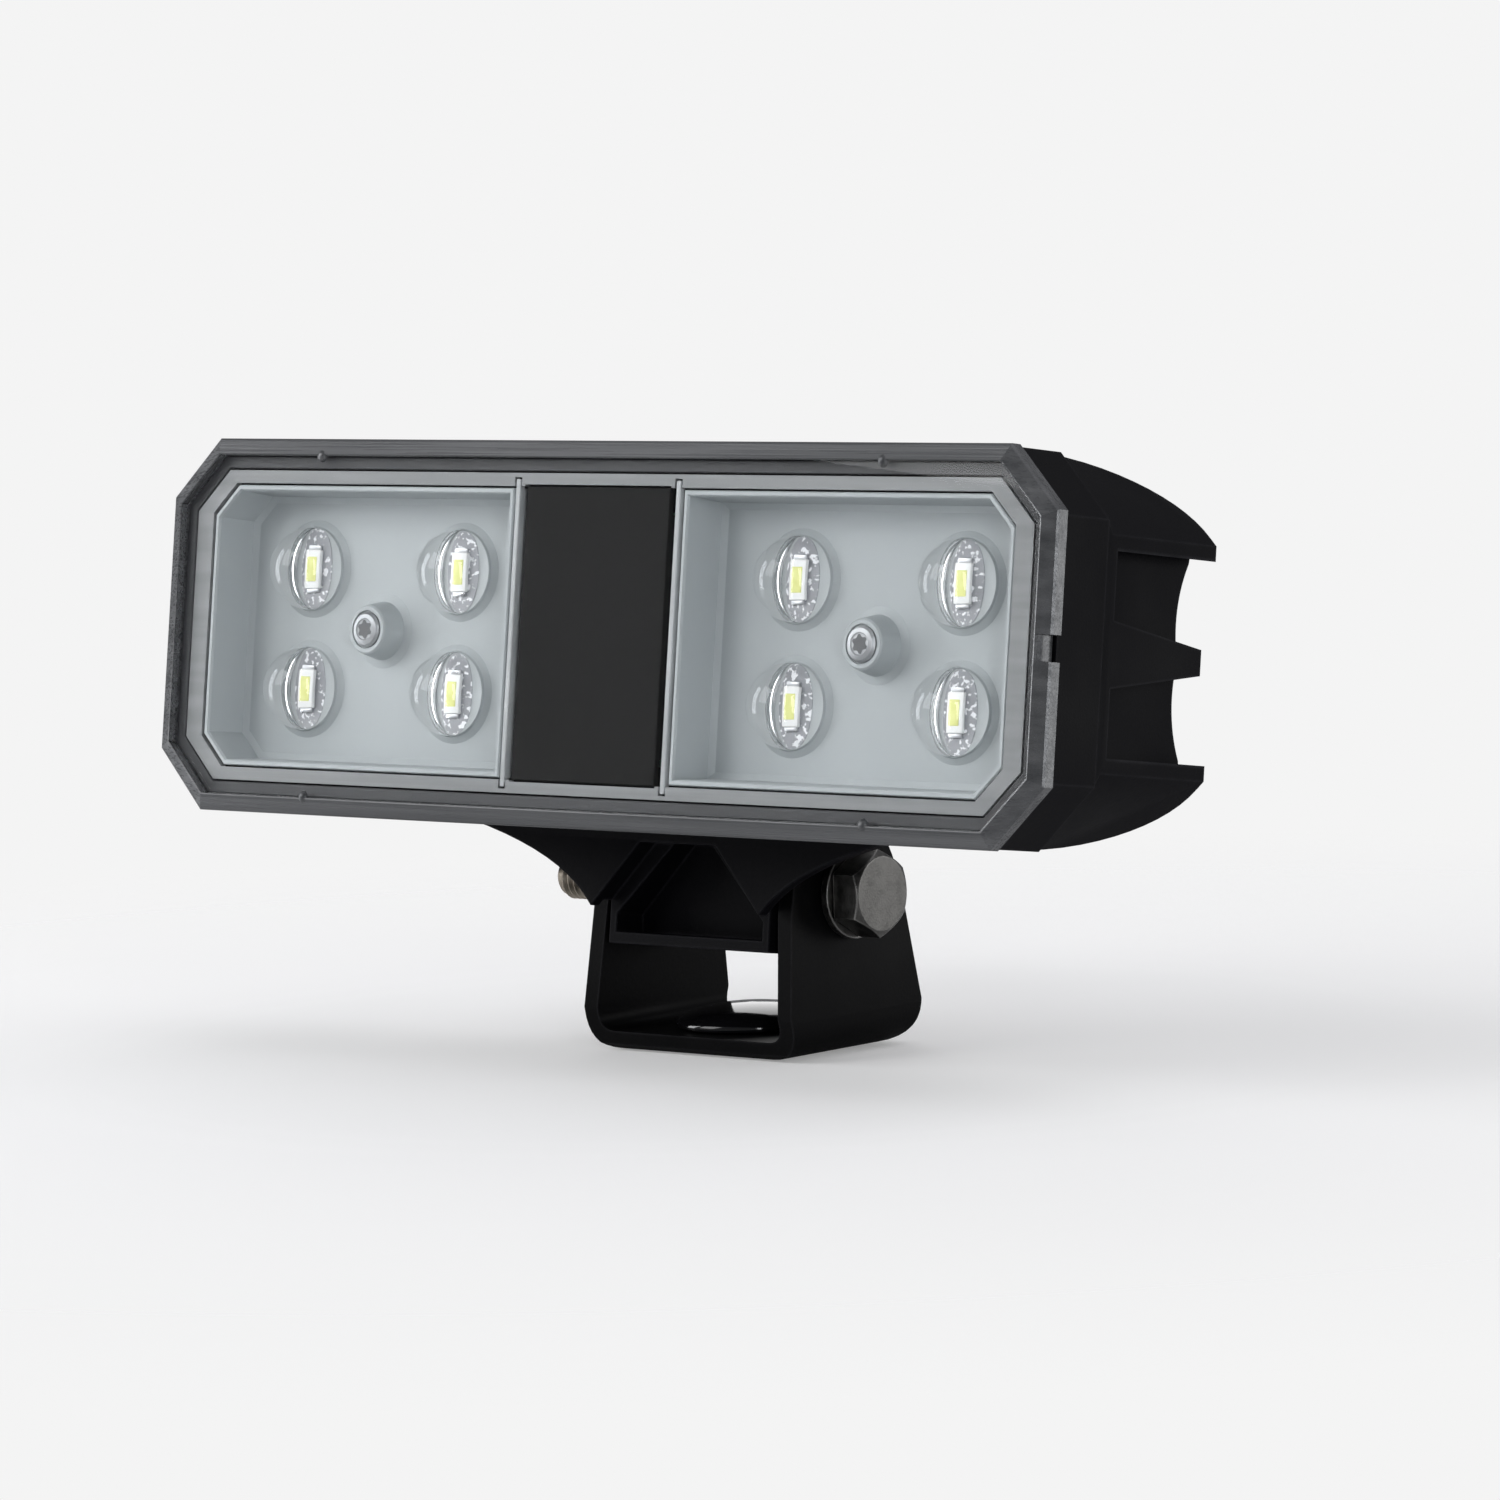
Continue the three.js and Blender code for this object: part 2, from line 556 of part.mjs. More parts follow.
function driver() {
  const front = 13.4;
  const seat = front - FIT;
  return [
    mesh("driver_board", boardGreen, block(-13.5, 13.5, front, 15, -21, 21)),
    mesh("driver_pad", padGrey, block(-12, 12, 15.3, PAD.back, -18, 18)),
    mesh("driver_capacitor", capacitorSleeve, rodY(4, 5.2, seat, -7, 13)),
    mesh("driver_inductor", partBlack, block(0.5, 10.5, 8.2, seat, 5, 15)),
    mesh("driver_chip", partBlack, block(-4, 4, 11.6, seat, -7, -1)),
    mesh("driver_terminal", partBlack, block(-8, 8, 6.5, seat, -18, -12)),
  ];
}

function rearFittings() {
  const { z, mouth, hexFlats, nutRadius, bore } = GLAND;
  const hex = [0, 1, 2, 3, 4, 5].map((i) => {
    const a = (i * Math.PI) / 3;
    const r = hexFlats / Math.sqrt(3);
    return [r * Math.cos(a), z + r * Math.sin(a)];
  });
  const body = cut(
    joined(rodY(5, 26, mouth + 1, 0, z), alongY(outline(hex), mouth + FIT, mouth + 4)),
    rodY(bore, 20, 60, 0, z),
  );
  const nutFront = mouth + 4 + FIT;
  const { tail } = SHELL;
  const nut = cut(
    turnedY([
      [0, -tail], [nutRadius - 2, -tail], [nutRadius, -tail + 2.5], [nutRadius, -nutFront], [0, -nutFront],
    ], 0, z),
    rodY(bore, 20, 60, 0, z),
  );
  const plug = rodY(bore - FIT, 27, SHELL.tail - 0.6, 0, z);
  const vent = joined(
    rodY(VENT.head, WALL_BACK + FIT, WALL_BACK + 2.4, VENT.x, VENT.z),
    rodY(VENT.stem, CHAMBER.floor + 0.2, WALL_BACK + 1, VENT.x, VENT.z, 20),
  );
  return [
    mesh("cable_gland_body", partBlack, body),
    mesh("cable_gland_nut", partBlack, nut),
    mesh("cable_gland_plug", rubberBlack, plug),
    mesh("breather_vent", partBlack, vent),
  ];
}

// ---------- the whole lamp ----------
const optics = new THREE.Group();
optics.position.set(0, -PIVOT.back, PIVOT.drop);
optics.add(
  housing(), mountingFoot(), frontLens(), lensGasket(), bezelFrame(), centrePanel(),
  ...both(opticTray), ...both(opticScrew), ...both(divider), ...both(ledBoard), ...both(thermalPad),
  ...leds(), ...driver(), ...rearFittings(),
);

const head = new THREE.Group();
head.position.set(0, 0, PIVOT.z);
head.rotation.x = -TILT;
head.add(optics);

const lamp = new THREE.Group();
lamp.name = "fog_light";
lamp.add(bracket(), mountHoleCap(), pivotBolt(), pivotWasher(), pivotNut(), head);

export default lamp;
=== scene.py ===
# An LED fog and work light on a tilting U-bracket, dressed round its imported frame.
# Metres, +Z up. The lens looks along -Y. New pieces of the head are drawn in millimetres in the
# lens's own space: x across, y back from the lens's front face, z up from its centre.
import json
from math import cos, pi, radians, sin, sqrt

import bmesh
import bpy
from mathutils import Matrix, Vector


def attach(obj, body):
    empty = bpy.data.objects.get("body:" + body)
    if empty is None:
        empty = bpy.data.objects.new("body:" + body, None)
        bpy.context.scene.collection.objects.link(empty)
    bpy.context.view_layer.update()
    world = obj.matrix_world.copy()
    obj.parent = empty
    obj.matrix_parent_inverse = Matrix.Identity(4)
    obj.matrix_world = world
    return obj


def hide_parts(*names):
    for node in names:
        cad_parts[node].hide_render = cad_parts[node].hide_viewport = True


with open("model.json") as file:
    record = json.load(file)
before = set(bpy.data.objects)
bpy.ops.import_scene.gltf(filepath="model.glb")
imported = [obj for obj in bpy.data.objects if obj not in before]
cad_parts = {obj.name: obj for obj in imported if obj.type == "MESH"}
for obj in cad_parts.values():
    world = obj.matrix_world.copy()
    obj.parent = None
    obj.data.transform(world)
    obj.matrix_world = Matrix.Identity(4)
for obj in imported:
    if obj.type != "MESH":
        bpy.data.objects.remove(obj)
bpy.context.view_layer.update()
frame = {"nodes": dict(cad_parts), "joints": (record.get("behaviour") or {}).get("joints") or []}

# ---------- where things are ----------
MM = 0.001
PIVOT = Vector(frame["joints"][0]["pos_m"])
TILT = radians(8)
PIVOT_TO_LENS = (0, -0.045, 0.0398)
ROW = Matrix.Scale(MM, 4)
STAY = Matrix.Identity(4)
LENS_TURN = Matrix.Rotation(-TILT, 4, "X")
LENS_PLACE = Matrix.Translation(PIVOT) @ LENS_TURN @ Matrix.Translation(PIVOT_TO_LENS)
HEAD = LENS_PLACE @ ROW
LENS_CENTRE = LENS_PLACE.translation

# Sizes from here on are in millimetres.
LENS = {"width": 196.0, "height": 64.0, "chamfer": 10.3, "glass": 2.0}
FLANGE = {"wide": 2.9, "fall": 1.0, "back": 3.5}
NOTCH_HEIGHT = 4.3
PIP_X = 62.2
PIP_Z = 29.0
TRAY = {"inner": 18.9, "outer": 88.6, "half_height": 24.1, "chamfer": 5.2}
TRAY_FLOOR = 11.0
DOME = {"radius": 7.1, "centre": 9.8}
LED_X = (37.7, 72.2)
LED_Z = 10.3
SCREW_X = 55.0
CHIP = {"half_width": 1.45, "half_height": 2.5, "thick": 0.7, "face_wide": 0.95, "face_tall": 1.6}
SOLDER = {"half_width": 1.2, "half_height": 0.45, "from_middle": 2.6}
HOLLOW = {"half_width": 2.9, "depth": 4.6, "half_height": 5.9}
SEAT = {"half_width": 2.8, "half_height": 5.8}
HEAD_SIDES = ((-1, "left"), (1, "right"))
CAP = {"radius": 13.0, "shoulder": 3.9, "crown": 3.3}
BOLT = {"face": 24.4, "length": 65.3, "radius": 3.95, "root": 3.35}
ON_AXIS = 0.001

# How much a corner's 45-degree cut shrinks as its outline moves in. The trays' is rounded.
CORNER = 2 - sqrt(2)
TRAY_CORNER = 0.586


# ---------- camera, floor and light ----------
def camera():
    azimuth, elevation, roll = radians(41.245), radians(5.12), radians(-2.054)
    distance, shift_right, shift_up = 1.2176, 0.0276, -0.0190
    back = Vector((sin(azimuth) * cos(elevation), -cos(azimuth) * cos(elevation), sin(elevation)))
    right = (-back).cross(Vector((0, 0, 1))).normalized()
    up = right.cross(-back)
    rolled_right = right * cos(roll) + up * sin(roll)
    rolled_up = up * cos(roll) - right * sin(roll)
    data = bpy.data.cameras.new("camera")
    data.lens = 177.9
    data.sensor_width = 36
    data.clip_start = 0.05
    eye = bpy.data.objects.new("camera", data)
    turn = Matrix((rolled_right, rolled_up, back)).transposed().to_4x4()
    place = LENS_CENTRE + rolled_right * shift_right + rolled_up * shift_up + back * distance
    eye.matrix_world = Matrix.Translation(place) @ turn
    bpy.context.scene.collection.objects.link(eye)
    bpy.context.scene.camera = eye


def softbox(name, place, target, size, power, tint=(1, 1, 1)):
    data = bpy.data.lights.new(name, "AREA")
    data.shape = "RECTANGLE"
    data.size, data.size_y = size
    data.energy = power
    data.color = tint
    lamp = bpy.data.objects.new(name, data)
    lamp.location = place
    lamp.rotation_mode = "QUATERNION"
    lamp.rotation_quaternion = (Vector(target) - Vector(place)).to_track_quat("-Z", "Y")
    bpy.context.scene.collection.objects.link(lamp)


def studio():
    world = bpy.data.worlds.new("studio")
    bpy.context.scene.world = world
    world.use_nodes = True
    tree = world.node_tree
    background = tree.nodes["Background"]
    path = tree.nodes.new("ShaderNodeLightPath")
    shade = tree.nodes.new("ShaderNodeMix")
    shade.data_type = "RGBA"
    shade.inputs["A"].default_value = (0.20, 0.203, 0.212, 1)
    shade.inputs["B"].default_value = (0.905, 0.905, 0.905, 1)
    tree.links.new(path.outputs["Is Camera Ray"], shade.inputs["Factor"])
    tree.links.new(shade.outputs["Result"], background.inputs["Color"])
    target = (0, -0.02, 0.05)
    softbox("key_front_left", (-0.75, -1.1, 0.75), target, (0.7, 0.9), 7)
    softbox("strip_left", (-0.95, -0.45, 0.15), target, (0.3, 1.1), 6, (0.97, 0.98, 1))
    softbox("strip_right", (0.95, -0.75, 0.25), target, (0.16, 1.0), 3.5, (0.97, 0.98, 1))
    softbox("top", (0.25, 0.25, 1.1), target, (1.4, 1.2), 4.5, (0.98, 0.97, 1))
    softbox("rear_right", (0.95, 1.0, 0.12), target, (0.5, 0.6), 2.8)
    softbox("rear_left", (-0.9, 0.9, 0.6), target, (0.8, 0.8), 3.5)
    bpy.context.scene.view_settings.view_transform = "Standard"


def floor():
    """A pale sheet that fades into the backdrop away from the lamp."""
    bm = bmesh.new()
    bmesh.ops.create_grid(bm, x_segments=1, y_segments=1, size=0.6)
    bmesh.ops.translate(bm, verts=bm.verts, vec=(0, 0, -0.0004))
    mesh = bpy.data.meshes.new("floor")
    bm.to_mesh(mesh)
    ground = bpy.data.objects.new("floor", mesh)
    bpy.context.scene.collection.objects.link(ground)
    paper = plain("floor_paper", {"Base Color": (0.8, 0.8, 0.8, 1), "Roughness": 0.9,
                                  "Specular IOR Level": 0.0, "Emission Color": (1, 1, 1, 1)})
    tree, shader = parts_of(paper)
    path = tree.nodes.new("ShaderNodeLightPath")
    glow = math_node(tree, "MULTIPLY", path.outputs["Is Camera Ray"], 0.26)
    tree.links.new(glow, shader.inputs["Emission Strength"])
    reach = tree.nodes.new("ShaderNodeVectorMath")
    reach.operation = "LENGTH"
    tree.links.new(object_space(tree), reach.inputs[0])
    fade = ranged(tree, reach.outputs["Value"], 0.10, 0.34, 1.0, 0.0)
    tree.links.new(fade, shader.inputs["Alpha"])
    mesh.materials.append(paper)


# ---------- shared effects ----------
def group(name, inputs, outputs):
    tree = bpy.data.node_groups.new(name, "ShaderNodeTree")
    for label, kind, value in inputs:
        socket = tree.interface.new_socket(label, in_out="INPUT", socket_type=kind)
        socket.default_value = value
    for label, kind in outputs:
        tree.interface.new_socket(label, in_out="OUTPUT", socket_type=kind)
    return tree, tree.nodes.new("NodeGroupInput"), tree.nodes.new("NodeGroupOutput")


def math_node(tree, operation, first, second):
    node = tree.nodes.new("ShaderNodeMath")
    node.operation = operation
    for socket, value in zip(node.inputs, (first, second)):
        if isinstance(value, bpy.types.NodeSocket):
            tree.links.new(value, socket)
        else:
            socket.default_value = value
    return node.outputs[0]


def ranged(tree, value, low, high, to_low, to_high):
    node = tree.nodes.new("ShaderNodeMapRange")
    tree.links.new(value, node.inputs["Value"])
    for label, number in (("From Min", low), ("From Max", high), ("To Min", to_low), ("To Max", to_high)):
        node.inputs[label].default_value = number
    return node.outputs["Result"]


def noise(tree, coordinates, scale, detail=3.0):
    node = tree.nodes.new("ShaderNodeTexNoise")
    tree.links.new(coordinates, node.inputs["Vector"])
    if isinstance(scale, bpy.types.NodeSocket):
        tree.links.new(scale, node.inputs["Scale"])
    else:
        node.inputs["Scale"].default_value = scale
    node.inputs["Detail"].default_value = detail
    return node.outputs["Fac"]


def object_space(tree, stretch=(1, 1, 1)):
    where = tree.nodes.new("ShaderNodeTexCoord")
    mapping = tree.nodes.new("ShaderNodeMapping")
    mapping.inputs["Scale"].default_value = stretch
    tree.links.new(where.outputs["Object"], mapping.inputs["Vector"])
    return mapping.outputs["Vector"]


def grain_group():
    """Fine pebbled skin, as powder coat and moulded plastic have: a height and a blotchy tone."""
    tree, given, out = group(
        "grain",
        [("Scale", "NodeSocketFloat", 1800.0), ("Blotch Scale", "NodeSocketFloat", 60.0)],
        [("Height", "NodeSocketFloat"), ("Tone", "NodeSocketFloat")],
    )
    space = object_space(tree)
    tree.links.new(noise(tree, space, given.outputs["Scale"], 2.0), out.inputs["Height"])
    blotches = noise(tree, space, given.outputs["Blotch Scale"], 4.0)
    tree.links.new(ranged(tree, blotches, 0.3, 0.7, 0.0, 1.0), out.inputs["Tone"])
    return tree


def edge_highlight_group():
    """A mask of outer edges for a painted highlight: a lighter tone where they would catch the light."""
    tree, given, out = group(
        "edge_highlight_mask",
        [("Radius", "NodeSocketFloat", 0.0008), ("Breakup", "NodeSocketFloat", 300.0)],
        [("Mask", "NodeSocketFloat")],
    )
    rounded = tree.nodes.new("ShaderNodeBevel")
    rounded.samples = 4
    tree.links.new(given.outputs["Radius"], rounded.inputs["Radius"])
    surface = tree.nodes.new("ShaderNodeNewGeometry")
    facing = tree.nodes.new("ShaderNodeVectorMath")
    facing.operation = "DOT_PRODUCT"
    tree.links.new(rounded.outputs["Normal"], facing.inputs[0])
    tree.links.new(surface.outputs["Normal"], facing.inputs[1])
    edge = ranged(tree, facing.outputs["Value"], 0.995, 0.9, 0.0, 1.0)
    patches = noise(tree, object_space(tree), given.outputs["Breakup"], 3.0)
    breakup = ranged(tree, patches, 0.25, 0.6, 0.35, 1.0)
    tree.links.new(math_node(tree, "MULTIPLY", edge, breakup), out.inputs["Mask"])
    return tree


def streak_group():
    """Fine lines along the lamp's width, as flow and polishing leave in moulded and drawn parts."""
    tree, given, out = group(
        "streaks",
        [("Fine", "NodeSocketFloat", 1.0)],
        [("Lines", "NodeSocketFloat"), ("Bands", "NodeSocketFloat")],
    )
    fine = noise(tree, object_space(tree, (25, 2600, 2600)), given.outputs["Fine"], 3.0)
    tree.links.new(ranged(tree, fine, 0.3, 0.7, 0.0, 1.0), out.inputs["Lines"])
    bands = noise(tree, object_space(tree, (12, 420, 420)), given.outputs["Fine"], 2.0)
    tree.links.new(ranged(tree, bands, 0.3, 0.7, 0.0, 1.0), out.inputs["Bands"])
    return tree


def build_effects():
    return {"grain": grain_group(), "edge": edge_highlight_group(), "streaks": streak_group()}


# ---------- materials ----------
def plain(name, values):
    """A material with one Principled shader and these constants on it."""
    made = bpy.data.materials.new(name)
    made.use_nodes = True
    shader = made.node_tree.nodes["Principled BSDF"]
    for label, value in values.items():
        shader.inputs[label].default_value = value
    return made


def parts_of(made):
    tree = made.node_tree
    return tree, tree.nodes["Principled BSDF"]


def effect(tree, name, **values):
    node = tree.nodes.new("ShaderNodeGroup")
    node.node_tree = effects[name]
    for label, value in values.items():
        node.inputs[label.replace("_", " ")].default_value = value
    return node


def blend_colour(tree, factor, first, second):
    node = tree.nodes.new("ShaderNodeMix")
    node.data_type = "RGBA"
    tree.links.new(factor, node.inputs["Factor"])
    for label, value in (("A", first), ("B", second)):
        if isinstance(value, bpy.types.NodeSocket):
            tree.links.new(value, node.inputs[label])
        else:
            node.inputs[label].default_value = (*value, 1)
    return node.outputs["Result"]


def bump(tree, shader, height, distance):
    node = tree.nodes.new("ShaderNodeBump")
    node.inputs["Distance"].default_value = distance
    node.inputs["Strength"].default_value = 1.0
    tree.links.new(height, node.inputs["Height"])
    tree.links.new(node.outputs["Normal"], shader.inputs["Normal"])


def grained(name, dark, light, rough, grain, blotch, depth, edge=None, highlight_tone=None, **constants):
    """A pebbled, slightly blotchy surface, with a painted highlight of lighter tone along its edges where
    edge gives their width.
    """
    made = plain(name, constants)
    tree, shader = parts_of(made)
    skin = effect(tree, "grain", Scale=grain, Blotch_Scale=blotch)
    colour = blend_colour(tree, skin.outputs["Tone"], dark, light)
    if edge:
        # Painted highlight: the edge tone is laid over the outer edges as if they caught the light.
        mask = effect(tree, "edge", Radius=edge)
        colour = blend_colour(tree, mask.outputs["Mask"], colour, highlight_tone)
    tree.links.new(colour, shader.inputs["Base Color"])
    tree.links.new(ranged(tree, skin.outputs["Tone"], 0, 1, *rough), shader.inputs["Roughness"])
    bump(tree, shader, skin.outputs["Height"], depth)
    return made


def streaked(name, dark, light, rough, depth, **constants):
    made = plain(name, constants)
    tree, shader = parts_of(made)
    lines = effect(tree, "streaks")
    colour = blend_colour(tree, lines.outputs["Bands"], dark, light)
    tree.links.new(colour, shader.inputs["Base Color"])
    tree.links.new(ranged(tree, lines.outputs["Lines"], 0, 1, *rough), shader.inputs["Roughness"])
    bump(tree, shader, lines.outputs["Lines"], depth)
    return made


def clear(name, tint, ior, rough):
    """Clear moulding that lets lamps through, with a faint ripple on its surface."""
    made = plain(name, {"Base Color": (*tint, 1), "Transmission Weight": 1.0, "IOR": ior})
    tree, shader = parts_of(made)
    skin = effect(tree, "grain", Scale=90, Blotch_Scale=40)
    tree.links.new(ranged(tree, skin.outputs["Tone"], 0, 1, *rough), shader.inputs["Roughness"])
    path = tree.nodes.new("ShaderNodeLightPath")
    open_air = tree.nodes.new("ShaderNodeBsdfTransparent")
    mix = tree.nodes.new("ShaderNodeMixShader")
    tree.links.new(path.outputs["Is Shadow Ray"], mix.inputs["Fac"])
    tree.links.new(shader.outputs["BSDF"], mix.inputs[1])
    tree.links.new(open_air.outputs["BSDF"], mix.inputs[2])
    tree.links.new(mix.outputs["Shader"], tree.nodes["Material Output"].inputs["Surface"])
    return made


def speckled_board():
    """Grey solder mask with the bright specks of its copper showing through."""
    made = plain("speckled_board", {"Roughness": 0.45})
    tree, shader = parts_of(made)
    space = object_space(tree)
    specks = ranged(tree, noise(tree, space, 1500, 1.0), 0.56, 0.64, 0, 1)
    mask = blend_colour(tree, noise(tree, space, 220, 2.0), (0.16, 0.165, 0.18), (0.36, 0.37, 0.39))
    colour = blend_colour(tree, specks, mask, (0.75, 0.76, 0.78))
    tree.links.new(colour, shader.inputs["Base Color"])
    return made


def build_materials():
    made = {}
    powder = {"Specular IOR Level": 0.05}
    # The edge widths and tones given to the housing, bracket, moulded and steel finishes paint a highlight
    # along their outer edges.
    made["housing"] = grained(
        "housing_powder_coat", (0.0030, 0.0030, 0.0040), (0.0052, 0.0050, 0.0066), (0.42, 0.56),
        2200, 45, 0.00003, 0.0007, (0.020, 0.020, 0.023), **powder)
    made["bracket"] = grained(
        "bracket_powder_coat", (0.0030, 0.0030, 0.0033), (0.0050, 0.0050, 0.0054), (0.38, 0.52),
        1700, 50, 0.00003, 0.0006, (0.018, 0.018, 0.020), **powder)
    made["cap"] = grained(
        "cap_gloss_black", (0.003, 0.003, 0.0035), (0.005, 0.005, 0.006), (0.05, 0.10), 300, 90, 0.000004)
    made["flange"] = streaked(
        "lens_flange", (0.075, 0.078, 0.082), (0.14, 0.143, 0.148), (0.22, 0.36), 0.000012, Metallic=0.35)
    made["bezel"] = streaked(
        "bezel_grey", (0.165, 0.172, 0.175), (0.215, 0.222, 0.225), (0.4, 0.55), 0.000004)
    made["gasket"] = grained(
        "gasket_rubber", (0.024, 0.025, 0.027), (0.040, 0.041, 0.044), (0.55, 0.7), 2600, 120, 0.00004)
    made["plug"] = grained(
        "plug_rubber", (0.016, 0.016, 0.017), (0.024, 0.024, 0.025), (0.6, 0.75), 2200, 120, 0.00004)
    made["moulded"] = grained(
        "moulded_black", (0.010, 0.010, 0.011), (0.017, 0.017, 0.018), (0.4, 0.52), 1500, 80, 0.00003,
        0.0004, (0.03, 0.03, 0.032))
    made["panel"] = grained(
        "panel_black", (0.008, 0.008, 0.0076), (0.0105, 0.0105, 0.010), (0.6, 0.7), 1600, 30, 0.00001,
        **{"Specular IOR Level": 0.08})
    made["tray"] = grained(
        "optic_tray", (0.345, 0.372, 0.380), (0.41, 0.438, 0.446), (0.56, 0.68), 500, 18, 0.000004)
    made["ridge"] = grained(
        "divider_ridge", (0.33, 0.345, 0.35), (0.45, 0.465, 0.47), (0.18, 0.3), 700, 60, 0.000006)
    made["steel"] = grained(
        "blasted_stainless", (0.07, 0.069, 0.066), (0.17, 0.167, 0.160), (0.3, 0.46), 2600, 420, 0.00003,
        0.0004, (0.72, 0.71, 0.69), Metallic=1.0)
    made["thread"] = grained(
        "thread_steel", (0.30, 0.26, 0.21), (0.50, 0.45, 0.38), (0.3, 0.45), 2000, 300, 0.00002, Metallic=1.0)
    made["screw"] = grained(
        "screw_zinc", (0.30, 0.31, 0.32), (0.42, 0.43, 0.44), (0.35, 0.5), 2200, 200, 0.00001, Metallic=0.6)
    # The screw socket's dark tone is painted shade: the screw head is flat, and this colour stands for the
    # shade in its recess.
    made["socket"] = grained(
        "screw_socket_shade", (0.075, 0.078, 0.082), (0.11, 0.113, 0.118), (0.5, 0.65), 2200, 200, 0.00001)
    made["package"] = grained(
        "led_package", (0.74, 0.75, 0.74), (0.82, 0.83, 0.82), (0.4, 0.5), 2000, 300, 0.00001)
    made["phosphor"] = grained(
        "led_phosphor", (0.66, 0.68, 0.22), (0.76, 0.78, 0.32), (0.5, 0.6), 4000, 900, 0.00002)
    made["solder"] = grained(
        "solder_pad", (0.55, 0.56, 0.58), (0.7, 0.71, 0.73), (0.25, 0.4), 1500, 500, 0.00002, Metallic=1.0)
    made["board"] = speckled_board()
    made["pad"] = grained(
        "thermal_pad", (0.28, 0.29, 0.31), (0.36, 0.37, 0.39), (0.8, 0.9), 1200, 100, 0.00005)
    made["green"] = grained(
        "driver_board", (0.010, 0.065, 0.032), (0.018, 0.095, 0.05), (0.35, 0.5), 700, 150, 0.00001)
    made["sleeve"] = grained(
        "capacitor_sleeve", (0.018, 0.028, 0.07), (0.028, 0.042, 0.09), (0.25, 0.4), 900, 120, 0.00001)
    made["pane"] = clear("lens_pane", (0.97, 0.98, 0.985), 1.2, (0.0, 0.02))
    made["dome"] = clear("optic_dome", (1.0, 1.0, 1.0), 1.42, (0.0, 0.015))
    return made


# ---------- drawing ----------
def loop_of(bm, points):
    """A closed loop of edges through these points."""
    verts = [bm.verts.new(p) for p in points]
    return [bm.edges.new((a, b)) for a, b in zip(verts, verts[1:] + verts[:1])]


def octagon(inset, y):
    """The lens's outline, this far in from its edge and this far back."""
    w, h = LENS["width"] / 2 - inset, LENS["height"] / 2 - inset
    c = LENS["chamfer"] - inset * CORNER
    right = [(w, -h + c), (w, h - c), (w - c, h)]
    left = [(-w + c, h), (-w, h - c), (-w, -h + c), (-w + c, -h)]
    return [(x, y, z) for x, z in [*right, *left, (w - c, -h)]]


def bridged(loops, closed=True):
    """A skin drawn from loop to loop: round to the first again, or with flat ends where not closed."""
    bm = bmesh.new()
    first = edges = loop_of(bm, loops[0])
    for before, after in zip(loops, loops[1:] + loops[:1] if closed else loops[1:]):
        grown = bmesh.ops.extrude_edge_only(bm, edges=edges)["geom"]
        fresh = [v for v in grown if isinstance(v, bmesh.types.BMVert)]
        edges = [e for e in grown if isinstance(e, bmesh.types.BMEdge) and all(v in fresh for v in e.verts)]
        for vert in fresh:
            nearest = min(range(len(before)), key=lambda i: (vert.co - Vector(before[i])).length)
            vert.co = after[nearest]
    if not closed:
        bmesh.ops.edgeloop_fill(bm, edges=first)
        bmesh.ops.edgeloop_fill(bm, edges=edges)
    bmesh.ops.remove_doubles(bm, verts=bm.verts, dist=1e-4)
    bmesh.ops.recalc_face_normals(bm, faces=bm.faces)
    return bm


def spun(profile, axis, steps=48, centre=(0, 0, 0)):
    """A turned shape from (radius, distance) points round an axis: X, Y or Z through centre."""
    bm = bmesh.new()
    along = Vector([float(axis == each) for each in "XYZ"])
    out = Vector((0, 1, 0)) if axis == "X" else Vector((1, 0, 0))
    verts = [bm.verts.new(out * r + along * d) for r, d in profile]
    edges = [bm.edges.new(pair) for pair in zip(verts, verts[1:])]
    bmesh.ops.spin(bm, geom=verts + edges, cent=(0, 0, 0), axis=along, angle=2 * pi, steps=steps,
                   use_merge=True)
    bmesh.ops.remove_doubles(bm, verts=bm.verts, dist=1e-4)
    bmesh.ops.recalc_face_normals(bm, faces=bm.faces)
    bmesh.ops.translate(bm, verts=bm.verts, vec=centre)
    return bm


def merged(*shapes):
    """One bmesh that holds all these shapes."""
    whole = bmesh.new()
    for shape in shapes:
        spare = bpy.data.meshes.new("spare")
        shape.to_mesh(spare)
        whole.from_mesh(spare)
        bpy.data.meshes.remove(spare)
    return whole


def slab(x0, x1, y0, y1, z0, z1, round_by):
    """A block with rounded edges."""
    bm = bmesh.new()
    bmesh.ops.create_cube(bm, size=1)
    bmesh.ops.scale(bm, verts=bm.verts, vec=(x1 - x0, y1 - y0, z1 - z0))
    bmesh.ops.translate(bm, verts=bm.verts, vec=((x0 + x1) / 2, (y0 + y1) / 2, (z0 + z1) / 2))
    bmesh.ops.bevel(bm, geom=bm.edges[:], offset=round_by, segments=2, profile=0.5,
                    affect="EDGES", material=-1)
    return bm


def thickened(bm, depth):
    """Gives a flat shape this depth along Y."""
    front = bmesh.ops.extrude_face_region(bm, geom=bm.faces[:])
    moved = [v for v in front["geom"] if isinstance(v, bmesh.types.BMVert)]
    bmesh.ops.translate(bm, verts=moved, vec=(0, depth, 0))
    bmesh.ops.recalc_face_normals(bm, faces=bm.faces)
    return bm


def from_cad(node):
    """A CAD node's shape with its loose triangles merged and its flat faces made whole, in metres."""
    bm = bmesh.new()
    bm.from_mesh(frame["nodes"][node].data)
    bmesh.ops.remove_doubles(bm, verts=bm.verts, dist=2e-6)
    bmesh.ops.dissolve_limit(bm, angle_limit=radians(0.8), verts=bm.verts, edges=bm.edges)
    return bm


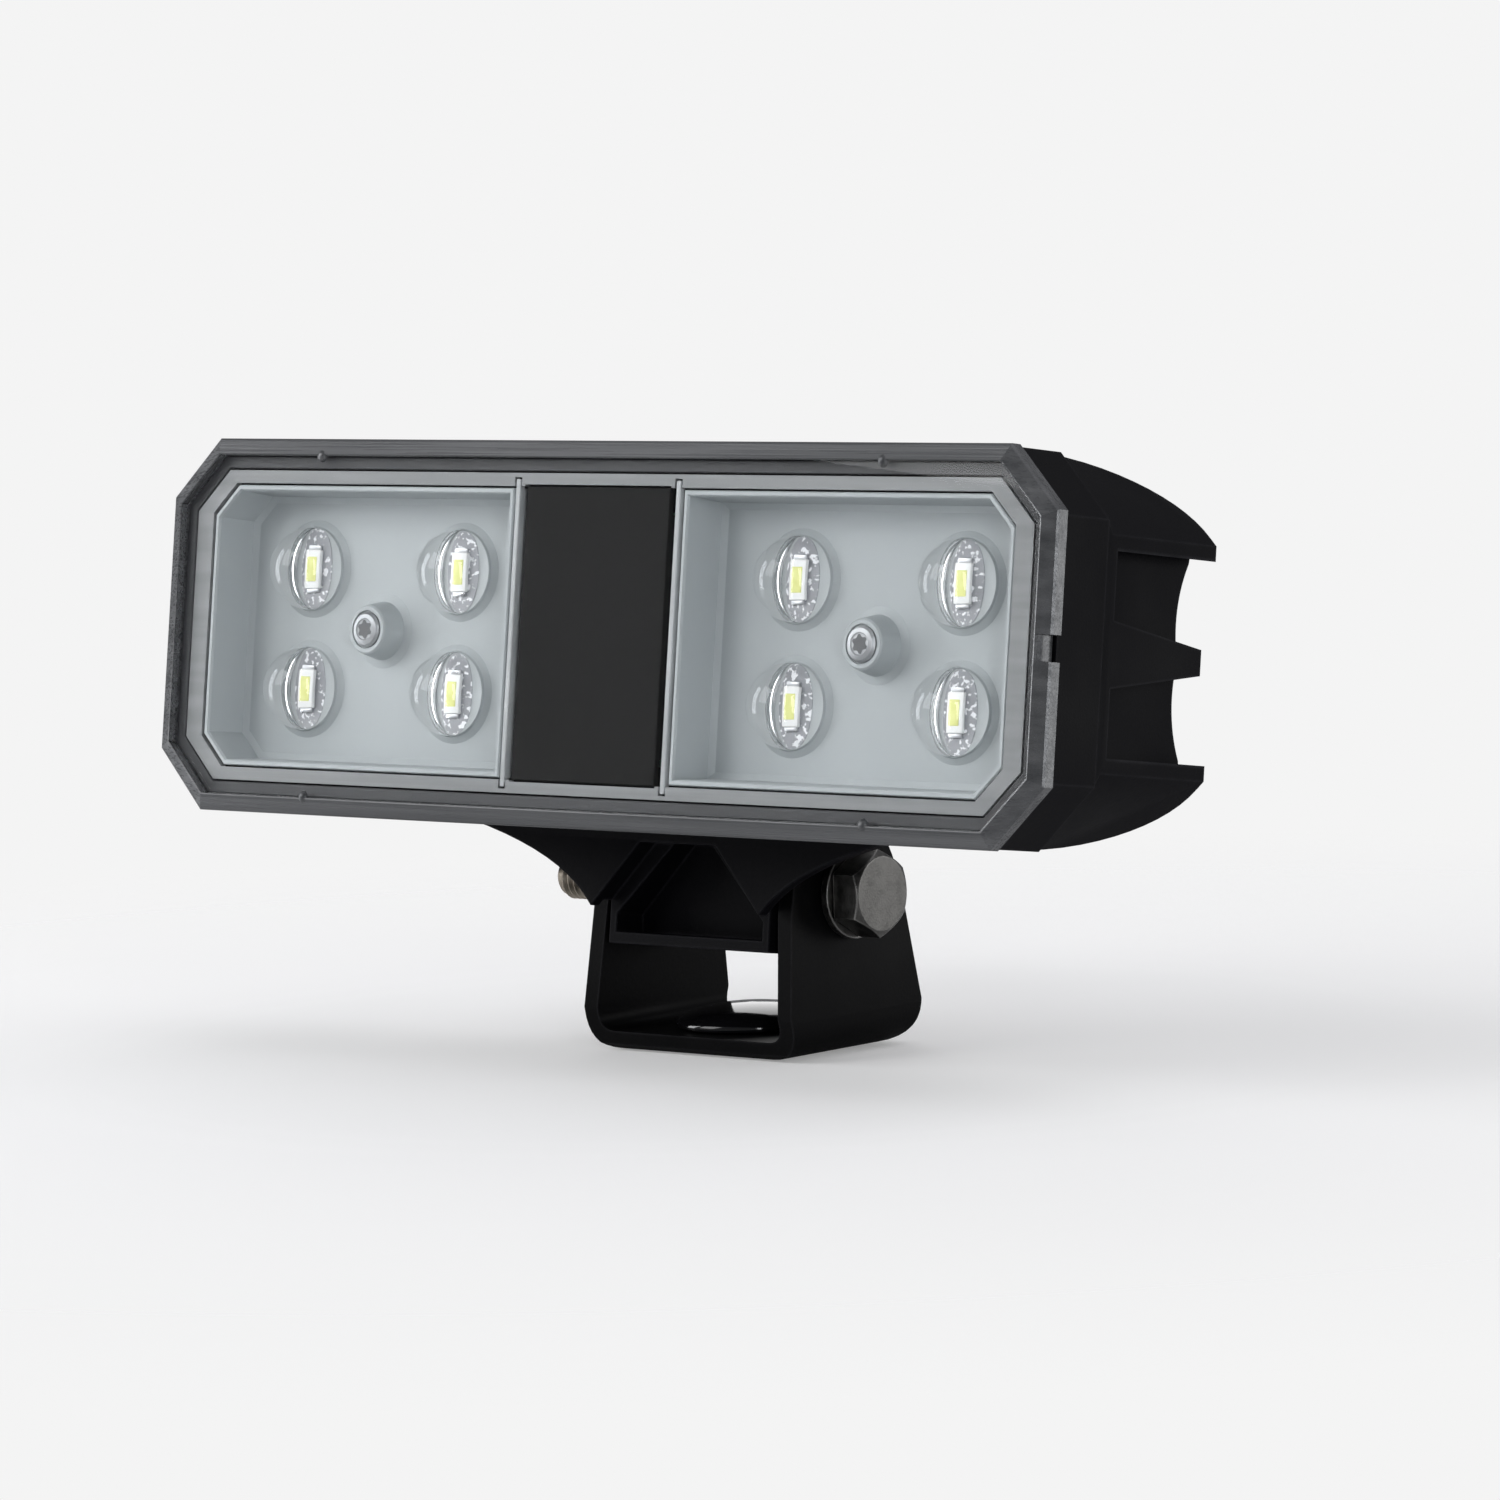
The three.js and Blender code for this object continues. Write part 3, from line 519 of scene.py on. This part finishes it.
def piece(name, bm, place, body, finish, stands_for=(), crease=32, bevel=0.0, segments=2):
    """Makes the object: place puts it in the row frame, crease is its sharpest smooth angle."""
    bmesh.ops.transform(bm, matrix=place, verts=bm.verts)
    mesh = bpy.data.meshes.new(name)
    bm.to_mesh(mesh)
    bm.free()
    for face in mesh.polygons:
        face.use_smooth = True
    mesh.set_sharp_from_angle(angle=radians(crease))
    mesh.materials.append(finishes[finish])
    made = bpy.data.objects.new(name, mesh)
    bpy.context.scene.collection.objects.link(made)
    if bevel:
        rounding = made.modifiers.new("rounded_edges", "BEVEL")
        rounding.width = bevel * MM
        rounding.segments = segments
        rounding.limit_method = "ANGLE"
        rounding.angle_limit = radians(crease)
        rounding.harden_normals = True
    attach(made, body)
    if stands_for:
        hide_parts(*stands_for)


def rounded_cad(node, body, finish, bevel, crease=32, segments=2):
    """The CAD node's own shape with rounded edges, standing for that node."""
    name = f"{node}_finished"
    piece(name, from_cad(node), STAY, body, finish, (node,), crease, bevel, segments)


# ---------- the head ----------
def rim(inset, y, notch=0.0):
    """The lens's outline with a notch this deep in the middle of its right end."""
    corners = octagon(inset, y)
    x = corners[0][0]
    half = NOTCH_HEIGHT / 2
    inside = [(x - notch, y, -half + 0.1), (x - notch, y, half - 0.1)]
    return [corners[0], (x, y, -half), *inside, (x, y, half), *corners[1:]]


def front_lens():
    inner = FLANGE["wide"]
    glass = [octagon(inner, LENS["glass"]), octagon(inner, 0.1), octagon(inner + 0.1, 0.0)]
    pane = bridged(glass, closed=False)
    piece("lens_pane", pane, HEAD, "head", "pane", ("front_lens",))
    fall, back = FLANGE["fall"], FLANGE["back"]
    rings = [
        rim(inner - 0.05, 0.05), rim(inner - 0.25, 0.0), rim(0.35, fall, 1.5), rim(0.0, fall + 0.35, 1.9),
        rim(0.0, back - 0.2, 1.9), rim(0.25, back, 1.6),
        rim(inner - 0.3, back), rim(inner - 0.05, back - 0.3),
    ]
    flange = bridged(rings)
    piece("lens_flange", flange, HEAD, "head", "flange", ("front_lens",), crease=12)


def moulding_pips():
    """Four low round pips on the flange, above and below the fields."""
    profile = [(0, -0.55), (0.55, -0.45), (0.95, -0.1), (1.1, 0.35), (0, 0.35)]
    shapes = []
    for x in (-PIP_X, PIP_X):
        for z in (-PIP_Z, PIP_Z):
            shapes.append(spun(profile, "Y", 20, (x, 0.25, z)))
    piece("lens_moulding_pips", merged(*shapes), HEAD, "head", "flange")


def chip_places(side):
    """The x and z of a side's four chips, in their order."""
    return [(side * led_x, z) for led_x in LED_X for z in (LED_Z, -LED_Z)]


def tray_outline(side, inset, y):
    """A tray's outline, this far in from its edge: its outer corners are cut and its inner ones square."""
    w = (TRAY["outer"] - TRAY["inner"]) / 2 - inset
    h = TRAY["half_height"] - inset
    c = TRAY["chamfer"] - inset * TRAY_CORNER
    middle = side * (TRAY["inner"] + TRAY["outer"]) / 2
    corners = [(w - c, h), (-w, h), (-w, -h), (w - c, -h), (w, -h + c), (w, h - c)]
    return [(middle + side * x, y, z) for x, z in corners]


def optic_tray(side, label):
    front, buried = TRAY_FLOOR - 0.02, TRAY_FLOOR + 0.4
    steps = [
        (4.0, TRAY_FLOOR), (2.6, TRAY_FLOOR), (1.5, TRAY_FLOOR - 0.6), (1.0, 2.9), (0.75, 2.5),
        (0.2, 2.5), (0, 2.8), (0, TRAY_FLOOR + 1.3), (0.3, TRAY_FLOOR + 1.4),
    ]
    tray = bridged([tray_outline(side, inset, y) for inset, y in steps], closed=False)
    boss = [
        (1.9, 6.9), (3.2, 6.9), (3.3, 6.5), (3.9, 6.5), (4.2, 6.8), (5.0, TRAY_FLOOR - 0.5),
        (6.4, front), (6.4, buried), (1.9, buried), (1.9, 6.9),
    ]
    shapes = [tray, spun(boss, "Y", 40, (side * SCREW_X, 0, 0))]
    foot = [(7.15, 9.9), (7.35, 10.35), (8.4, front), (8.4, buried), (7.15, buried), (7.15, 9.9)]
    for x, z in chip_places(side):
        shapes.append(spun(foot, "Y", 48, (x, 0, z)))
    piece(f"optic_tray_{label}_plate", merged(*shapes), HEAD, "head", "tray",
          (f"optic_tray_{label}",), crease=28)


def dome_profile(radius, centre, back, steps=14):
    """Half of a dome's outline, from its tip on the axis down to its foot."""
    turns = [pi / 2 * i / steps for i in range(steps + 1)]
    return [(radius * sin(a), centre - radius * cos(a)) for a in turns] + [(radius, back)]


def cavity(x, z):
    """The air pocket over a chip: a long rounded hollow with its flat side on the tray's floor."""
    back = TRAY_FLOOR + 0.1
    hollow = spun(dome_profile(1.0, 0.0, 0.0, steps=10) + [(0, 0)], "Y", 40)
    size = (HOLLOW["half_width"], HOLLOW["depth"], HOLLOW["half_height"])
    bmesh.ops.scale(hollow, verts=hollow.verts, vec=size)
    bmesh.ops.translate(hollow, verts=hollow.verts, vec=(x, back, z))
    bmesh.ops.reverse_faces(hollow, faces=hollow.faces)
    return hollow


def domes(side, label):
    shapes = []
    back = TRAY_FLOOR + 0.2
    outer = dome_profile(DOME["radius"], DOME["centre"], back) + [(0, back)]
    for x, z in chip_places(side):
        shapes.append(spun(outer, "Y", 48, (x, 0, z)))
        shapes.append(cavity(x, z))
    piece(f"optic_domes_{label}", merged(*shapes), HEAD, "head", "dome",
          (f"optic_tray_{label}",), crease=50)


def chip_seat(x, z):
    """The long oval of board seen round a chip, inside its dome."""
    seat = bmesh.new()
    bmesh.ops.create_circle(seat, cap_ends=True, segments=40, radius=1)
    bmesh.ops.rotate(seat, verts=seat.verts, matrix=Matrix.Rotation(pi / 2, 3, "X"))
    bmesh.ops.scale(seat, verts=seat.verts, vec=(SEAT["half_width"], 1, SEAT["half_height"]))
    bmesh.ops.translate(seat, verts=seat.verts, vec=(x, TRAY_FLOOR - 0.06, z))
    return thickened(seat, 0.1)


def led_package(name, x, z):
    """A white package with a yellow face and a solder pad at each end."""
    front = TRAY_FLOOR - 0.75
    wide, tall, back = CHIP["half_width"], CHIP["half_height"], front + CHIP["thick"]
    package = slab(x - wide, x + wide, front, back, z - tall, z + tall, 0.15)
    piece(f"{name}_package", package, HEAD, "head", "package", (name,))
    wide, tall = CHIP["face_wide"], CHIP["face_tall"]
    face = slab(x - wide, x + wide, front - 0.1, front + 0.3, z - tall, z + tall, 0.1)
    piece(f"{name}_phosphor", face, HEAD, "head", "phosphor")
    wide, tall = SOLDER["half_width"], SOLDER["half_height"]
    pads = []
    for end in (-1, 1):
        middle = z + end * SOLDER["from_middle"]
        pads.append(slab(x - wide, x + wide, front + 0.35, back, middle - tall, middle + tall, 0.12))
    piece(f"{name}_solder", merged(*pads), HEAD, "head", "solder")


def led_packages():
    number = 0
    for side, label in HEAD_SIDES:
        seats = []
        for x, z in chip_places(side):
            number += 1
            seats.append(chip_seat(x, z))
            led_package(f"led_{number}", x, z)
        piece(f"chip_seats_{label}", merged(*seats), HEAD, "head", "board")


def star_socket_shade(x, y):
    """A flat six-lobed star of painted shade that stands for the socket's recess, which the head doesn't
    have.
    """
    star = bmesh.new()
    bmesh.ops.create_circle(star, cap_ends=True, segments=24, radius=1.6)
    for i, vert in enumerate(star.verts):
        vert.co *= 1.0 if i % 4 in (0, 1) else 0.76
    bmesh.ops.rotate(star, verts=star.verts, matrix=Matrix.Rotation(pi / 2, 3, "X"))
    bmesh.ops.translate(star, verts=star.verts, vec=(x, y, 0))
    return thickened(star, 0.4)


def optic_screw(side, label):
    head = [
        (ON_AXIS, 6.1), (1.7, 6.1), (1.9, 5.95), (2.6, 6.1), (3.0, 6.5), (3.0, 7.3),
        (1.5, 7.3), (1.5, 17.6), (1.0, 18.3), (ON_AXIS, 18.3),
    ]
    piece(f"optic_screw_{label}_finished", spun(head, "Y", 36, (side * SCREW_X, 0, 0)), HEAD, "head",
          "screw", (f"optic_screw_{label}",))
    # A dark star laid on the flat head: painted shade where the socket's recess would be.
    piece(f"optic_screw_{label}_socket", star_socket_shade(side * SCREW_X, 6.05), HEAD, "head",
          "socket")


def head_pieces():
    front_lens()
    moulding_pips()
    for side, label in HEAD_SIDES:
        optic_tray(side, label)
        domes(side, label)
        optic_screw(side, label)
        rounded_cad(f"divider_{label}", "head", "ridge", 0.2)
        rounded_cad(f"led_board_{label}", "head", "board", 0.2)
        rounded_cad(f"thermal_pad_{label}", "head", "pad", 0.2)
    led_packages()
    rounded_cad("housing", "head", "housing", 0.45, 30)
    rounded_cad("mounting_foot", "head", "housing", 0.3, 30)
    rounded_cad("lens_gasket", "head", "gasket", 0.25)
    rounded_cad("bezel_frame", "head", "bezel", 0.2)
    rounded_cad("centre_panel", "head", "panel", 0.25)
    rounded_cad("driver_board", "head", "green", 0.15)
    rounded_cad("driver_pad", "head", "pad", 0.2)
    rounded_cad("driver_capacitor", "head", "sleeve", 0.4)
    for node in ("driver_inductor", "driver_chip", "driver_terminal"):
        rounded_cad(node, "head", "moulded", 0.3)
    for node in ("cable_gland_body", "cable_gland_nut", "breather_vent"):
        rounded_cad(node, "head", "moulded", 0.3)
    rounded_cad("cable_gland_plug", "head", "plug", 0.3)


# ---------- the bracket and its bolt ----------
def mount_hole_cap():
    radius, shoulder, rise = CAP["radius"], CAP["shoulder"], CAP["crown"]
    lip = [(ON_AXIS, 0.3), (4.8, 0.3), (4.8, 3.3), (12.4, 3.3), (12.85, 3.5), (radius, shoulder)]
    turns = [pi / 2 * i / 14 for i in range(1, 14)]
    crown = [(radius * cos(a), shoulder + rise * sin(a)) for a in turns]
    whole = spun([*lip, *crown, (ON_AXIS, shoulder + rise)], "Z", 72)
    piece("mount_hole_cap_finished", whole, ROW, "bracket", "cap",
          ("mount_hole_cap",), crease=40)


def thread_ridge(radius, pitch, x_start, turns, steps=30):
    """One helical ridge of triangular section, wound along -X."""
    bm = bmesh.new()
    depth = 0.55
    foot, crest = pitch * 0.45, pitch * 0.06
    section = [(radius - depth, foot), (radius, crest), (radius, -crest), (radius - depth, -foot)]
    verts = [bm.verts.new((x_start + x, 0, r)) for r, x in section]
    face = bm.faces.new(verts)
    bmesh.ops.spin(bm, geom=[face], cent=(0, 0, 0), axis=(1, 0, 0), angle=2 * pi * turns,
                   steps=steps * turns, dvec=(-pitch / steps, 0, 0))
    bmesh.ops.remove_doubles(bm, verts=bm.verts, dist=1e-4)
    bmesh.ops.recalc_face_normals(bm, faces=bm.faces)
    return bm


def bolt():
    tip = BOLT["face"] - BOLT["length"]
    shank, root, under_head = BOLT["radius"], BOLT["root"], BOLT["face"] + 0.2
    place = Matrix.Translation(PIVOT) @ ROW
    rounded_cad("pivot_washer", "bracket", "steel", 0.25)
    rounded_cad("pivot_nut", "bracket", "steel", 0.2)
    core = [
        (ON_AXIS, tip), (2.9, tip), (root, tip + 0.5), (root, -17), (shank, -16.4),
        (shank, under_head), (ON_AXIS, under_head),
    ]
    ridge = thread_ridge(3.93, 1.25, -18.6, 17)
    threaded = merged(spun(core, "X", 40), ridge)
    piece("pivot_bolt_thread", threaded, place, "bracket", "thread", crease=28)
    head = from_cad("pivot_bolt")
    bmesh.ops.bisect_plane(head, geom=head.verts[:] + head.edges[:] + head.faces[:], dist=1e-7,
                           plane_co=(BOLT["face"] * MM, 0, 0), plane_no=(-1, 0, 0), clear_outer=True)
    cut_edge = [e for e in head.edges if e.is_boundary]
    bmesh.ops.holes_fill(head, edges=cut_edge)
    piece("pivot_bolt_head", head, STAY, "bracket", "steel", ("pivot_bolt",), 24, 0.18)


def bracket_pieces():
    rounded_cad("bracket", "bracket", "bracket", 0.4, 30, 3)
    mount_hole_cap()
    bolt()


effects = build_effects()
finishes = build_materials()
camera()
studio()
floor()
head_pieces()
bracket_pieces()
